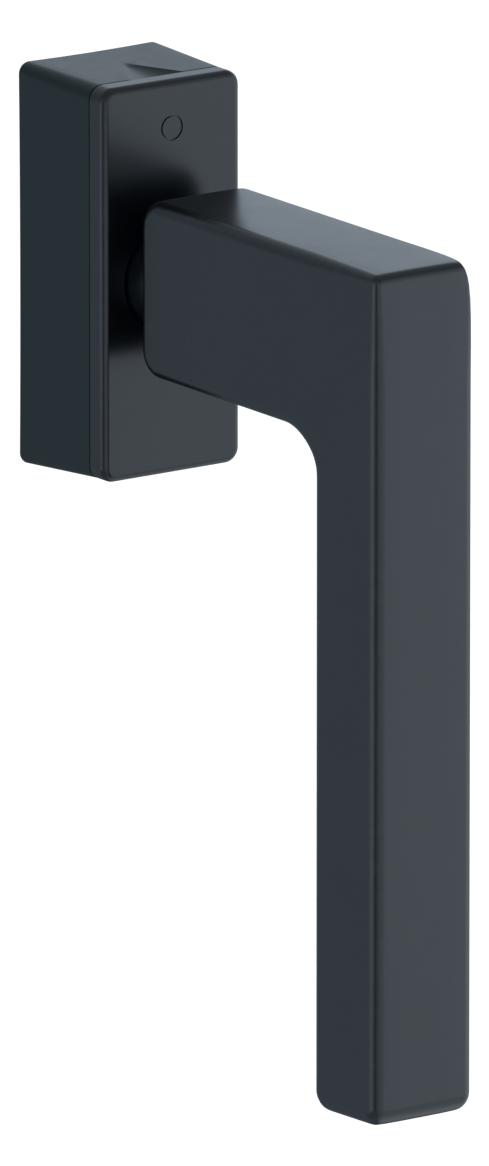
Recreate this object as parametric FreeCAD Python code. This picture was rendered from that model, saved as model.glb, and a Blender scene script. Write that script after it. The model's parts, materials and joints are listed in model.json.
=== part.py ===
"""Lever handle for a tilt-and-turn window, on a deep box-shaped rose.

The rose holds the handle's four-position detent and a self-powered radio sender, which a cam on
the spindle works.  Its front cover lifts off to reach the two fixing screws.

Frame: the origin is where the spindle's axis meets the face that lies on the window sash.
+X is to the right seen from the room, +Y goes into the window, +Z is up.
"Depth" is the distance out of the window, towards the room, so a depth d is the plane y = -d.
All sizes are in millimetres.
"""
import FreeCAD, Part
import math
import os

# Rose: housing and cover
ROSE_HALF_WIDTH = 14.0
ROSE_HALF_HEIGHT = 33.75
ROSE_DEPTH = 24.3
ROSE_CORNER = 2.6
HOUSING_DEPTH = 20.1
HOUSING_WALL = 1.7
HOUSING_FRONT = 2.6
REAR_SPREAD_X = 0.4
REAR_SPREAD_TOP = 0.45
REAR_SPREAD_BOTTOM = 1.5
REAR_BOW = 0.15
REAR_CORNER = 2.0
SEAM = 0.25
COVER_WALL = 1.2
COVER_EDGE = 1.3
COVER_TRAVEL = 3.5

# Pry scoop in the top of the housing, at the seam
SCOOP_LENGTH = 9.5
SCOOP_HALF_WIDTH = 5.2
SCOOP_DEEP = 1.1

# Collar on the housing's front, and the frame inside the cover that snaps on it
COLLAR_HALF_WIDTH = 11.45
COLLAR_WALL = 1.2
COLLAR_HEIGHT = 2.3
COLLAR_GROOVE = 0.5
SNAP_FRAME_PLAY = 0.3
SNAP_TAB = 0.45
SNAP_TAB_HALF = 4.0
SNAP_TAB_AT = 12.0

# Generic ring mark engraved in the cover
RING_AT = 25.6
RING_OUTER = 2.2
RING_LINE = 0.3
RING_DEEP = 0.25

# Fixing: two M5 screws at the usual 43 mm pitch, through 10 mm support lugs
SCREW_PITCH = 43.0
SCREW_THREAD_R = 2.5
SCREW_SHANK_R = 2.25
SCREW_HOLE_R = 2.65
SCREW_HEAD_R = 4.6
SCREW_HEAD_HEIGHT = 2.1
SCREW_TIP = 14.1
RECESS_HALF = 2.4
RECESS_WIDTH = 1.0
RECESS_DEEP = 1.5
LUG_R = 5.0
LUG_HEIGHT = 3.0
LUG_RELIEF_R = 3.75
COLUMN_R = 4.3

# Carrier plate at the back of the housing
PLATE_THICK = 2.6
PLATE_PLAY = 0.1
PLATE_CORNER = 1.1
SPINDLE_HOLE_R = 5.6
PLATE_SCREW_X = 9.4
PLATE_SCREW_Z = 28.8
PLATE_SCREW_R = 1.0
PLATE_SCREW_HEAD_R = 2.0
PLATE_SCREW_HEAD = 1.2
PLATE_SCREW_LENGTH = 9.0
BOSS_R = 2.4

# Spindle: 7 mm square
SPINDLE_SQUARE = 7.0
SPINDLE_CHAMFER = 0.4
SPINDLE_OUT = 14.5
SPINDLE_IN = 34.0
PIN_R = 1.5
PIN_HALF = 6.8
PIN_DEPTH = 16.0

# Lever
LEVER_HALF_WIDTH = 10.1
LEVER_TOP = 16.0
ARM_BOTTOM = -14.5
ARM_CLEARANCE = 1.0
ARM_REAR = ROSE_DEPTH + COVER_TRAVEL + ARM_CLEARANCE
LEVER_FRONT = 97.4
GRIP_THICK = 18.5
GRIP_REAR = LEVER_FRONT - GRIP_THICK
LEVER_BOTTOM = -129.45
BOTTOM_SLOPE = 0.4
INNER_ROUND = 5.0
INNER_REACH = 9.3
INNER_DROP = 6.9
ARM_REAR_ROUND = 4.6
TOP_ROUND = 2.5
BOTTOM_ROUND = 3.6
LEVER_EDGE = 2.0
NECK_R = 9.25
NECK_SHOULDER = 21.8
STUB_R = 7.0
STUB_END = 10.0
GROOVE_R = 6.2
GROOVE_AT = 10.7
GROOVE_WIDTH = 1.05

# Bearing of the neck in the housing
BUSH_R = 9.0
BUSH_BORE_R = 7.06
BUSH_FLANGE_R = 10.0
BUSH_FLANGE = 0.8
BUSH_END = 12.5
BEARING_BOSS_R = 10.8
THRUST_R = 8.9
THRUST_THICK = 0.5
SPRING_WASHER_BORE_R = 7.3
SPRING_WASHER_THICK = 0.5
CLIP_R = 8.5
CLIP_THICK = 0.9
CLIP_OPENING = 5.0

# Detent: a rounded square on the spindle between two leaf springs
CAM_HALF = 6.5
CAM_CORNER_R = 8.0
CAM_FROM = 5.9
CAM_TO = 9.9
LEAF_GAP = 0.05
LEAF_THICK = 0.5
LEAF_HALF_LENGTH = 10.3
LEAF_FROM = 6.1
LEAF_TO = 9.1
POST_WIDTH = 2.2
POST_FROM_Z = 8.2
POST_TO_Z = 10.5

# Sender cam and the sender that it works
LOBE_RING_R = 6.9
LOBE_R = 1.2
LOBE_AT = 7.0
LOBE_FROM = 3.1
LOBE_TO = 5.6
CASE_HALF_WIDTH = 11.2
CASE_BOTTOM = -16.6
CASE_TOP = -10.9
CASE_FROM = 2.9
CASE_TO = 8.9
CASE_WALL = 0.7
CORE_HALF = 9.6
CORE_THICK = 1.4
CORE_Z = -13.2
CORE_DEPTH = 5.9
BOBBIN_HALF = 5.2
BOBBIN_CHEEK = 0.5
BOBBIN_R = 2.3
BOBBIN_TUBE = 0.4
COIL_R = 2.0
MAGNET_FROM_X = 7.3
MAGNET_TO_X = 9.5
MAGNET_HALF_DEPTH = 1.3
MAGNET_TOP = -11.1
BOW_Z = -8.35
BOW_THICK = 0.3
BOW_HALF = 6.5
BOW_FOOT = 9.2
BOW_FROM = 3.7
BOW_TO = 5.4
BOARD_DEPTH = 9.4
BOARD_THICK = 1.0
BOARD_HALF_WIDTH = 11.8
BOARD_BOTTOM = -16.3
BOARD_SHOULDER = 26.0
BOARD_TAB_HALF = 6.6
BOARD_TOP = 31.2
BOARD_BORE_R = 9.3
BOARD_SCREW_BORE_R = 4.8
STAKE_X = 10.2
STAKE_Z = 13.5
STAKE_R = 0.9
STAKE_SHOULDER_R = 1.5
CAPACITOR_X = 6.6
CAPACITOR_Z = 13.7
CAPACITOR_R = 1.6
CAPACITOR_HEIGHT = 2.4
SHIELD_HALF = 4.0
SHIELD_BOTTOM = 11.4
SHIELD_TOP = 16.0
SHIELD_HEIGHT = 1.6
ANTENNA_HALF = 5.6
ANTENNA_LINE = 0.8
ANTENNA_STEP = 1.6
ANTENNA_BARS = 3
ANTENNA_BOTTOM = 27.0
ANTENNA_THICK = 0.2

SCREW_ZS = (-SCREW_PITCH / 2, SCREW_PITCH / 2)
OUT = FreeCAD.Vector(0, -1, 0)
SMALL = 0.01


def at(x, depth, z):
    """A point from its place across, its distance out of the window, and its height."""
    return FreeCAD.Vector(x, -depth, z)


def block(x_from, x_to, depth_from, depth_to, z_from, z_to):
    corner = at(x_from, depth_to, z_from)
    return Part.makeBox(x_to - x_from, depth_to - depth_from, z_to - z_from, corner)


def disc(radius, depth_from, depth_to, x=0.0, z=0.0):
    return Part.makeCylinder(radius, depth_to - depth_from, at(x, depth_from, z), OUT)


def ring(outer, inner, depth_from, depth_to, x=0.0, z=0.0):
    bore = disc(inner, depth_from - 1, depth_to + 1, x, z)
    return disc(outer, depth_from, depth_to, x, z).cut(bore)


def side(start, middle, end):
    """One side of an outline: an arc through its middle, or a line where it isn't bowed."""
    straight = (start + end) * 0.5
    if straight.distanceToPoint(middle) < SMALL:
        return Part.LineSegment(start, end).toShape()
    return Part.Arc(start, middle, end).toShape()


def outline(half_width, low, high, corner, depth, bow=0.0):
    """A rounded rectangle across the depth, each of its sides bowed inward by bow."""
    mid_z = (low + high) / 2
    diagonal = corner * (1 - math.sqrt(0.5))
    sides = [
        (at(half_width, depth, low + corner), at(half_width - bow, depth, mid_z),
         at(half_width, depth, high - corner)),
        (at(half_width - corner, depth, high), at(0, depth, high - bow),
         at(corner - half_width, depth, high)),
        (at(-half_width, depth, high - corner), at(bow - half_width, depth, mid_z),
         at(-half_width, depth, low + corner)),
        (at(corner - half_width, depth, low), at(0, depth, low + bow),
         at(half_width - corner, depth, low)),
    ]
    corners = [
        at(half_width - diagonal, depth, high - diagonal),
        at(diagonal - half_width, depth, high - diagonal),
        at(diagonal - half_width, depth, low + diagonal),
        at(half_width - diagonal, depth, low + diagonal),
    ]
    edges = []
    for index, (start, middle, end) in enumerate(sides):
        edges.append(side(start, middle, end))
        next_start = sides[(index + 1) % 4][0]
        edges.append(Part.Arc(end, corners[index], next_start).toShape())
    return Part.Wire(edges)


def slab(half_width, half_height, corner, depth_from, depth_to):
    """A plate with rounded corners, centred on the spindle."""
    wire = outline(half_width, -half_height, half_height, corner, depth_from)
    return Part.Face(wire).extrude(OUT * (depth_to - depth_from))


def frame(half_width, half_height, corner, wall, depth_from, depth_to):
    """A rounded rectangular ring, wall thick."""
    inner = slab(half_width - wall, half_height - wall, max(corner - wall, 0.4),
                 depth_from - 1, depth_to + 1)
    return slab(half_width, half_height, corner, depth_from, depth_to).cut(inner)


def countersink(top_r, low_r, height, top_depth, z):
    """A cone that narrows towards the window from top_depth."""
    return Part.makeCone(low_r, top_r, height, at(0, top_depth - height, z), OUT)


def pry_scoop():
    """A shallow cone lying in the top face, its point towards the window."""
    radius = (SCOOP_HALF_WIDTH ** 2 + SCOOP_DEEP ** 2) / (2 * SCOOP_DEEP)
    tip_depth = HOUSING_DEPTH - SCOOP_LENGTH

    def section(share):
        depth = tip_depth + SCOOP_LENGTH * share
        centre = at(0, depth, ROSE_HALF_HEIGHT + (radius - SCOOP_DEEP) * share)
        return Part.Wire(Part.makeCircle(radius * share, centre, OUT))

    return Part.makeLoft([section(0.02), section(1.05)], True, True)


def make_base_housing():
    rear = outline(ROSE_HALF_WIDTH + REAR_SPREAD_X, -ROSE_HALF_HEIGHT - REAR_SPREAD_BOTTOM,
                   ROSE_HALF_HEIGHT + REAR_SPREAD_TOP, REAR_CORNER, 0, REAR_BOW)
    front = outline(ROSE_HALF_WIDTH, -ROSE_HALF_HEIGHT, ROSE_HALF_HEIGHT, ROSE_CORNER,
                    HOUSING_DEPTH)
    body = Part.makeLoft([rear, front], True, True)
    inner_front = HOUSING_DEPTH - HOUSING_FRONT
    body = body.cut(slab(ROSE_HALF_WIDTH - HOUSING_WALL, ROSE_HALF_HEIGHT - HOUSING_WALL,
                         ROSE_CORNER - 1.4, -1, inner_front))
    body = body.cut(pry_scoop())
    collar_height = COLLAR_HALF_WIDTH + ROSE_HALF_HEIGHT - ROSE_HALF_WIDTH
    body = body.fuse(frame(COLLAR_HALF_WIDTH, collar_height, 1.8, COLLAR_WALL,
                           HOUSING_DEPTH - SMALL, HOUSING_DEPTH + COLLAR_HEIGHT))
    body = body.fuse(disc(BEARING_BOSS_R, BUSH_END, HOUSING_DEPTH))
    for x in (-PLATE_SCREW_X, PLATE_SCREW_X):
        for z in (-PLATE_SCREW_Z, PLATE_SCREW_Z):
            body = body.fuse(disc(BOSS_R, PLATE_THICK, inner_front, x, z))
            pilot = disc(PLATE_SCREW_R, PLATE_THICK - 1, PLATE_THICK + PLATE_SCREW_LENGTH, x, z)
            body = body.cut(pilot)
    for x in (-STAKE_X, STAKE_X):
        body = body.fuse(disc(STAKE_SHOULDER_R, BOARD_DEPTH + BOARD_THICK, inner_front, x, STAKE_Z))
        body = body.fuse(disc(STAKE_R, BOARD_DEPTH - 0.6, inner_front, x, STAKE_Z))
    body = body.cut(disc(BUSH_R, BUSH_END - 1, HOUSING_DEPTH + 5))
    for z in SCREW_ZS:
        body = body.cut(disc(SCREW_HOLE_R + 0.1, inner_front - 1, HOUSING_DEPTH + 1, z=z))
        body = body.cut(countersink(SCREW_HEAD_R + 0.1, SCREW_SHANK_R, SCREW_HEAD_HEIGHT + 0.1,
                                    HOUSING_DEPTH + SMALL, z))
    for x_side in (-1, 1):
        x_ends = sorted((x_side * (COLLAR_HALF_WIDTH - COLLAR_GROOVE), x_side * ROSE_HALF_WIDTH))
        for z in (-SNAP_TAB_AT, SNAP_TAB_AT):
            body = body.cut(block(x_ends[0], x_ends[1], HOUSING_DEPTH + 0.2, HOUSING_DEPTH + 1.8,
                                  z - SNAP_TAB_HALF - 0.5, z + SNAP_TAB_HALF + 0.5))
    return body.removeSplitter()


def make_cover_cap():
    rear = HOUSING_DEPTH + SEAM
    cap = slab(ROSE_HALF_WIDTH, ROSE_HALF_HEIGHT, ROSE_CORNER, rear, ROSE_DEPTH)
    front_edges = [edge for edge in cap.Edges if edge.BoundBox.YMax < SMALL - ROSE_DEPTH]
    cap = cap.makeFillet(COVER_EDGE, front_edges)
    cap = cap.cut(slab(ROSE_HALF_WIDTH - COVER_WALL, ROSE_HALF_HEIGHT - COVER_WALL,
                       ROSE_CORNER - COVER_WALL, rear - 1, ROSE_DEPTH - COVER_WALL))
    cap = cap.cut(disc(NECK_R + SNAP_FRAME_PLAY, rear, ROSE_DEPTH + 1))
    cap = cap.cut(ring(RING_OUTER, RING_OUTER - RING_LINE, ROSE_DEPTH - RING_DEEP,
                       ROSE_DEPTH + 1, z=RING_AT))
    return cap


def make_cover_snap_frame():
    half_width = ROSE_HALF_WIDTH - COVER_WALL
    half_height = ROSE_HALF_HEIGHT - COVER_WALL
    wall = half_width - COLLAR_HALF_WIDTH - SNAP_FRAME_PLAY
    back = HOUSING_DEPTH + 0.5
    body = frame(half_width, half_height, ROSE_CORNER - COVER_WALL, wall, back,
                 ROSE_DEPTH - COVER_WALL)
    inner = half_width - wall
    for x_side in (-1, 1):
        x_ends = sorted((x_side * (inner - SNAP_TAB), x_side * (inner + wall / 2)))
        for z in (-SNAP_TAB_AT, SNAP_TAB_AT):
            body = body.fuse(block(x_ends[0], x_ends[1], back, back + 0.9,
                                   z - SNAP_TAB_HALF, z + SNAP_TAB_HALF))
    return body.removeSplitter()


def make_carrier_plate():
    half_width = ROSE_HALF_WIDTH - HOUSING_WALL - PLATE_PLAY
    half_height = ROSE_HALF_HEIGHT - HOUSING_WALL - PLATE_PLAY
    body = slab(half_width, half_height, PLATE_CORNER, 0, PLATE_THICK)
    inner_front = HOUSING_DEPTH - HOUSING_FRONT
    for z in SCREW_ZS:
        body = body.fuse(disc(LUG_R, -LUG_HEIGHT, PLATE_THICK / 2, z=z))
        body = body.fuse(disc(COLUMN_R, PLATE_THICK / 2, inner_front, z=z))
    for x_side in (-1, 1):
        inner_x = CAM_HALF + LEAF_GAP + LEAF_THICK
        x_ends = sorted((x_side * inner_x, x_side * (inner_x + POST_WIDTH)))
        for z_ends in ((-POST_TO_Z, -POST_FROM_Z), (POST_FROM_Z, POST_TO_Z)):
            body = body.fuse(block(x_ends[0], x_ends[1], PLATE_THICK / 2, LEAF_TO,
                                   z_ends[0], z_ends[1]))
    for z in SCREW_ZS:
        body = body.cut(disc(SCREW_HOLE_R, -1, inner_front + 1, z=z))
        body = body.cut(disc(LUG_RELIEF_R, -LUG_HEIGHT - 1, 0, z=z))
    body = body.cut(disc(SPINDLE_HOLE_R, -1, PLATE_THICK + 1))
    for x in (-PLATE_SCREW_X, PLATE_SCREW_X):
        for z in (-PLATE_SCREW_Z, PLATE_SCREW_Z):
            body = body.cut(disc(PLATE_SCREW_R + 0.2, -1, PLATE_THICK + 1, x, z))
            body = body.cut(disc(PLATE_SCREW_HEAD_R + 0.2, -1, PLATE_SCREW_HEAD + 0.1, x, z))
    return body.removeSplitter()


def make_plate_screws():
    screws = []
    for x in (-PLATE_SCREW_X, PLATE_SCREW_X):
        for z in (-PLATE_SCREW_Z, PLATE_SCREW_Z):
            head = disc(PLATE_SCREW_HEAD_R, 0.1, PLATE_SCREW_HEAD + 0.1, x, z)
            shank = disc(PLATE_SCREW_R, 1.0, PLATE_THICK + PLATE_SCREW_LENGTH - 0.5, x, z)
            screw = head.fuse(shank)
            for half_x, half_z in ((1.2, 0.2), (0.2, 1.2)):
                screw = screw.cut(block(x - half_x, x + half_x, 0, 0.7, z - half_z, z + half_z))
            screws.append(screw.removeSplitter())
    return Part.makeCompound(screws)


def make_fixing_screws():
    screws = []
    for z in SCREW_ZS:
        head = countersink(SCREW_HEAD_R, SCREW_SHANK_R, SCREW_HEAD_HEIGHT, HOUSING_DEPTH, z)
        shank = disc(SCREW_SHANK_R, 0, HOUSING_DEPTH - SCREW_HEAD_HEIGHT + SMALL, z=z)
        thread = disc(SCREW_THREAD_R, -SCREW_TIP, 0, z=z)
        tip = Part.makeCone(SCREW_SHANK_R - 0.4, SCREW_THREAD_R, 0.8,
                            at(0, -SCREW_TIP - 0.8, z), OUT)
        screw = head.fuse([shank, thread, tip])
        for half_x, half_z in ((RECESS_HALF, RECESS_WIDTH / 2), (RECESS_WIDTH / 2, RECESS_HALF)):
            screw = screw.cut(block(-half_x, half_x, HOUSING_DEPTH - RECESS_DEEP,
                                    HOUSING_DEPTH + 1, z - half_z, z + half_z))
        screws.append(screw.removeSplitter())
    return Part.makeCompound(screws)


def make_neck_bush():
    flange = disc(BUSH_FLANGE_R, HOUSING_DEPTH, HOUSING_DEPTH + BUSH_FLANGE)
    sleeve = disc(BUSH_R, BUSH_END, HOUSING_DEPTH + SMALL)
    bore = disc(BUSH_BORE_R, BUSH_END - 1, HOUSING_DEPTH + 2)
    return flange.fuse(sleeve).cut(bore).removeSplitter()


def profile_point(centre, radius, degrees):
    """A point on a circle in the lever's side view, its angle counted up from the room side."""
    angle = math.radians(degrees)
    depth = centre[0] + radius * math.cos(angle)
    return at(-LEVER_HALF_WIDTH, depth, centre[1] + radius * math.sin(angle))


def profile_arc(centre, radius, start, end):
    """The start, middle and end of an arc in the lever's side view."""
    return [profile_point(centre, radius, angle) for angle in (start, (start + end) / 2, end)]


def inner_arcs():
    """The hollow between grip and arm: a tight arc at the grip runs into a wide one at the arm."""
    rest = (INNER_REACH - INNER_ROUND) ** 2 + INNER_DROP ** 2 - INNER_ROUND ** 2
    wide = rest / (2 * (INNER_DROP - INNER_ROUND))
    meet = math.degrees(math.atan2(wide - INNER_DROP, INNER_REACH - INNER_ROUND))
    tight_centre = (GRIP_REAR - INNER_ROUND, ARM_BOTTOM - INNER_DROP)
    wide_centre = (GRIP_REAR - INNER_REACH, ARM_BOTTOM - wide)
    return [
        profile_arc(tight_centre, INNER_ROUND, 0, meet),
        profile_arc(wide_centre, wide, meet, 90),
    ]


def corner_arc(depth, z, radius, depth_side, z_side, start):
    """A quarter round at a corner of the lever's side view."""
    centre = (depth - depth_side * radius, z - z_side * radius)
    return profile_arc(centre, radius, start, start - 90)


def lever_profile():
    """The lever's side view, as a closed wire in the plane of its left side."""
    arcs = [
        corner_arc(ARM_REAR, LEVER_TOP, ARM_REAR_ROUND, -1, 1, 180),
        corner_arc(LEVER_FRONT, LEVER_TOP, TOP_ROUND, 1, 1, 90),
        corner_arc(LEVER_FRONT, LEVER_BOTTOM, BOTTOM_ROUND, 1, -1, 0),
        corner_arc(GRIP_REAR, LEVER_BOTTOM - BOTTOM_SLOPE, BOTTOM_ROUND, -1, -1, -90),
    ]
    arcs += inner_arcs()
    arcs.append(corner_arc(ARM_REAR, ARM_BOTTOM, ARM_REAR_ROUND, -1, -1, -90))
    edges = []
    for index, (start, middle, end) in enumerate(arcs):
        edges.append(Part.Arc(start, middle, end).toShape())
        next_start = arcs[(index + 1) % len(arcs)][0]
        if end.distanceToPoint(next_start) > SMALL:
            edges.append(Part.LineSegment(end, next_start).toShape())
    return Part.Wire(edges)


def make_lever():
    face = Part.Face(lever_profile())
    body = face.extrude(FreeCAD.Vector(2 * LEVER_HALF_WIDTH, 0, 0))
    side_edges = []
    for edge in body.Edges:
        box = edge.BoundBox
        if box.XLength < SMALL and abs(abs(box.XMin) - LEVER_HALF_WIDTH) < SMALL:
            side_edges.append(edge)
    body = body.makeFillet(LEVER_EDGE, side_edges)
    body = body.fuse(disc(NECK_R, NECK_SHOULDER, ARM_REAR + 1))
    body = body.fuse(disc(STUB_R, STUB_END, NECK_SHOULDER + 1))
    body = body.cut(ring(STUB_R + 1, GROOVE_R, GROOVE_AT, GROOVE_AT + GROOVE_WIDTH))
    half = SPINDLE_SQUARE / 2
    body = body.cut(block(-half, half, STUB_END - 1, SPINDLE_IN, -half, half))
    body = body.cut(Part.makeCylinder(PIN_R, 2 * STUB_R + 2, at(-STUB_R - 1, PIN_DEPTH, 0),
                                      FreeCAD.Vector(1, 0, 0)))
    return body.removeSplitter()


def make_spindle():
    half = SPINDLE_SQUARE / 2
    bar = block(-half, half, -SPINDLE_OUT, SPINDLE_IN, -half, half)
    bar = bar.makeChamfer(SPINDLE_CHAMFER, bar.Edges)
    return bar.cut(Part.makeCylinder(PIN_R, 2 * half + 2, at(-half - 1, PIN_DEPTH, 0),
                                     FreeCAD.Vector(1, 0, 0)))


def make_spindle_pin():
    pin = Part.makeCylinder(PIN_R, 2 * PIN_HALF, at(-PIN_HALF, PIN_DEPTH, 0),
                            FreeCAD.Vector(1, 0, 0))
    ends = [edge for edge in pin.Edges if edge.BoundBox.XLength < SMALL]
    return pin.makeChamfer(0.25, ends)


def square_bore(depth_from, depth_to):
    half = SPINDLE_SQUARE / 2
    return block(-half, half, depth_from - 1, depth_to + 1, -half, half)


def make_detent_cam():
    cam = block(-CAM_HALF, CAM_HALF, CAM_FROM, CAM_TO, -CAM_HALF, CAM_HALF)
    cam = cam.common(disc(CAM_CORNER_R, CAM_FROM, CAM_TO))
    return cam.cut(square_bore(CAM_FROM, CAM_TO))


def make_detent_springs():
    near = CAM_HALF + LEAF_GAP
    far = near + LEAF_THICK
    leaves = []
    for x_from, x_to in ((-far, -near), (near, far)):
        leaves.append(block(x_from, x_to, LEAF_FROM, LEAF_TO, -LEAF_HALF_LENGTH, LEAF_HALF_LENGTH))
    return Part.makeCompound(leaves)


def make_sender_cam():
    cam = disc(LOBE_RING_R, LOBE_FROM, LOBE_TO)
    for quarter in range(4):
        angle = math.radians(45 + 90 * quarter)
        cam = cam.fuse(disc(LOBE_R, LOBE_FROM, LOBE_TO,
                            LOBE_AT * math.cos(angle), LOBE_AT * math.sin(angle)))
    return cam.cut(square_bore(LOBE_FROM, LOBE_TO)).removeSplitter()


def make_thrust_washer():
    return ring(THRUST_R, STUB_R + 0.15, BUSH_END - 0.1 - THRUST_THICK, BUSH_END - 0.1)


def make_spring_washer():
    back = HOUSING_DEPTH + BUSH_FLANGE + 0.2
    return ring(NECK_R - 0.25, SPRING_WASHER_BORE_R, back, back + SPRING_WASHER_THICK)


def make_retaining_clip():
    clip = ring(CLIP_R, GROOVE_R + SMALL, GROOVE_AT + 0.05, GROOVE_AT + 0.05 + CLIP_THICK)
    half = CLIP_OPENING / 2
    return clip.cut(block(-half, half, GROOVE_AT - 1, GROOVE_AT + 3, 0, CLIP_R + 1))


def make_sender_case():
    body = block(-CASE_HALF_WIDTH, CASE_HALF_WIDTH, CASE_FROM, CASE_TO, CASE_BOTTOM, CASE_TOP)
    return body.cut(block(CASE_WALL - CASE_HALF_WIDTH, CASE_HALF_WIDTH - CASE_WALL,
                          CASE_FROM + CASE_WALL, CASE_TO - CASE_WALL,
                          CASE_BOTTOM + CASE_WALL, CASE_TOP + 1))


def make_generator_core():
    half = CORE_THICK / 2
    return block(-CORE_HALF, CORE_HALF, CORE_DEPTH - half, CORE_DEPTH + half,
                 CORE_Z - half, CORE_Z + half)


def bobbin_section(reach, x_from, x_to):
    return block(x_from, x_to, CORE_DEPTH - reach, CORE_DEPTH + reach,
                 CORE_Z - reach, CORE_Z + reach)


def make_coil_bobbin():
    half = CORE_THICK / 2
    body = bobbin_section(half + BOBBIN_TUBE, -BOBBIN_HALF, BOBBIN_HALF)
    cheek = BOBBIN_HALF - BOBBIN_CHEEK
    body = body.fuse(bobbin_section(BOBBIN_R, -BOBBIN_HALF, -cheek))
    body = body.fuse(bobbin_section(BOBBIN_R, cheek, BOBBIN_HALF))
    return body.cut(bobbin_section(half, -BOBBIN_HALF - 1, BOBBIN_HALF + 1)).removeSplitter()


def make_generator_coil():
    cheek = BOBBIN_HALF - BOBBIN_CHEEK
    body = bobbin_section(COIL_R, -cheek, cheek)
    long_edges = [edge for edge in body.Edges if edge.BoundBox.XLength > cheek]
    body = body.makeFillet(0.6, long_edges)
    return body.cut(bobbin_section(CORE_THICK / 2 + BOBBIN_TUBE, -cheek - 1, cheek + 1))


def make_generator_magnets():
    low = CORE_Z + CORE_THICK / 2
    magnets = []
    for x_from, x_to in ((-MAGNET_TO_X, -MAGNET_FROM_X), (MAGNET_FROM_X, MAGNET_TO_X)):
        magnets.append(block(x_from, x_to, CORE_DEPTH - MAGNET_HALF_DEPTH,
                             CORE_DEPTH + MAGNET_HALF_DEPTH, low, MAGNET_TOP))
    return Part.makeCompound(magnets)


def make_generator_bow():
    """A hat-shaped leaf: a bar facing the sender cam, two legs, and feet on the magnets."""
    bar = block(-BOW_HALF, BOW_HALF, BOW_FROM, BOW_TO, BOW_Z, BOW_Z + BOW_THICK)
    for x_side in (-1, 1):
        leg = sorted((x_side * (BOW_HALF - BOW_THICK), x_side * BOW_HALF))
        bar = bar.fuse(block(leg[0], leg[1], BOW_FROM, BOW_TO, MAGNET_TOP, BOW_Z + BOW_THICK))
        foot = sorted((x_side * (BOW_HALF - BOW_THICK), x_side * BOW_FOOT))
        bar = bar.fuse(block(foot[0], foot[1], BOW_FROM, BOW_TO, MAGNET_TOP,
                             MAGNET_TOP + BOW_THICK))
    return bar.removeSplitter()


def make_sender_board():
    far = BOARD_DEPTH + BOARD_THICK
    body = block(-BOARD_HALF_WIDTH, BOARD_HALF_WIDTH, BOARD_DEPTH, far,
                 BOARD_BOTTOM, BOARD_SHOULDER)
    body = body.fuse(block(-BOARD_TAB_HALF, BOARD_TAB_HALF, BOARD_DEPTH, far,
                           BOARD_SHOULDER, BOARD_TOP))
    body = body.cut(disc(BOARD_BORE_R, BOARD_DEPTH - 1, far + 1))
    body = body.cut(disc(BOARD_SCREW_BORE_R, BOARD_DEPTH - 1, far + 1, z=SCREW_PITCH / 2))
    for x in (-STAKE_X, STAKE_X):
        body = body.cut(disc(STAKE_R, BOARD_DEPTH - 1, far + 1, x, STAKE_Z))
    return body.removeSplitter()


def make_storage_capacitors():
    low = BOARD_DEPTH - CAPACITOR_HEIGHT
    cans = [disc(CAPACITOR_R, low, BOARD_DEPTH, x, CAPACITOR_Z) for x in (-CAPACITOR_X, CAPACITOR_X)]
    return Part.makeCompound(cans)


def make_radio_shield():
    can = block(-SHIELD_HALF, SHIELD_HALF, BOARD_DEPTH - SHIELD_HEIGHT, BOARD_DEPTH,
                SHIELD_BOTTOM, SHIELD_TOP)
    upright = [edge for edge in can.Edges if edge.BoundBox.YLength > SHIELD_HEIGHT - SMALL]
    return can.makeFillet(0.4, upright)


def make_antenna_strip():
    """A meander of copper on the board's upper tab: bars joined at alternate ends."""
    near = BOARD_DEPTH + BOARD_THICK
    far = near + ANTENNA_THICK
    strip = None
    for index in range(ANTENNA_BARS):
        low = ANTENNA_BOTTOM + index * ANTENNA_STEP
        bar = block(-ANTENNA_HALF, ANTENNA_HALF, near, far, low, low + ANTENNA_LINE)
        strip = strip.fuse(bar) if strip else bar
        if index < ANTENNA_BARS - 1:
            end = ANTENNA_HALF if index % 2 else ANTENNA_LINE - ANTENNA_HALF
            strip = strip.fuse(block(end - ANTENNA_LINE, end, near, far, low,
                                     low + ANTENNA_STEP + ANTENNA_LINE))
    return strip.removeSplitter()


NODES = {
    "base_housing": make_base_housing,
    "carrier_plate": make_carrier_plate,
    "plate_screws": make_plate_screws,
    "fixing_screws": make_fixing_screws,
    "neck_bush": make_neck_bush,
    "detent_springs": make_detent_springs,
    "sender_case": make_sender_case,
    "generator_core": make_generator_core,
    "coil_bobbin": make_coil_bobbin,
    "generator_coil": make_generator_coil,
    "generator_magnets": make_generator_magnets,
    "generator_bow": make_generator_bow,
    "sender_board": make_sender_board,
    "storage_capacitors": make_storage_capacitors,
    "radio_shield": make_radio_shield,
    "antenna_strip": make_antenna_strip,
    "cover_cap": make_cover_cap,
    "cover_snap_frame": make_cover_snap_frame,
    "lever": make_lever,
    "spindle": make_spindle,
    "spindle_pin": make_spindle_pin,
    "detent_cam": make_detent_cam,
    "sender_cam": make_sender_cam,
    "thrust_washer": make_thrust_washer,
    "spring_washer": make_spring_washer,
    "retaining_clip": make_retaining_clip,
}

os.makedirs("parts", exist_ok=True)
for name, make in NODES.items():
    shape = make()
    shape.exportStep("parts/" + name + ".step")
    print(name, shape.isValid(), len(shape.Solids), round(shape.Volume, 2))
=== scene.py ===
"""Looks of the window lever handle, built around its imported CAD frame.

The housing, the cover, the lever and the fixing screws are rebuilt here as finer meshes, and
the other pieces are the CAD's own. Sizes are in millimetres: x is to the right, depth is out
of the window, and z is up. They are the CAD's sizes, apart from small changes, most of which
bring edges and corners closer to the photograph. Nothing reaches past the CAD's box.
"""

import json
import math

import bmesh
import bpy
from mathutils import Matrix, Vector
from mathutils.geometry import delaunay_2d_cdt


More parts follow.
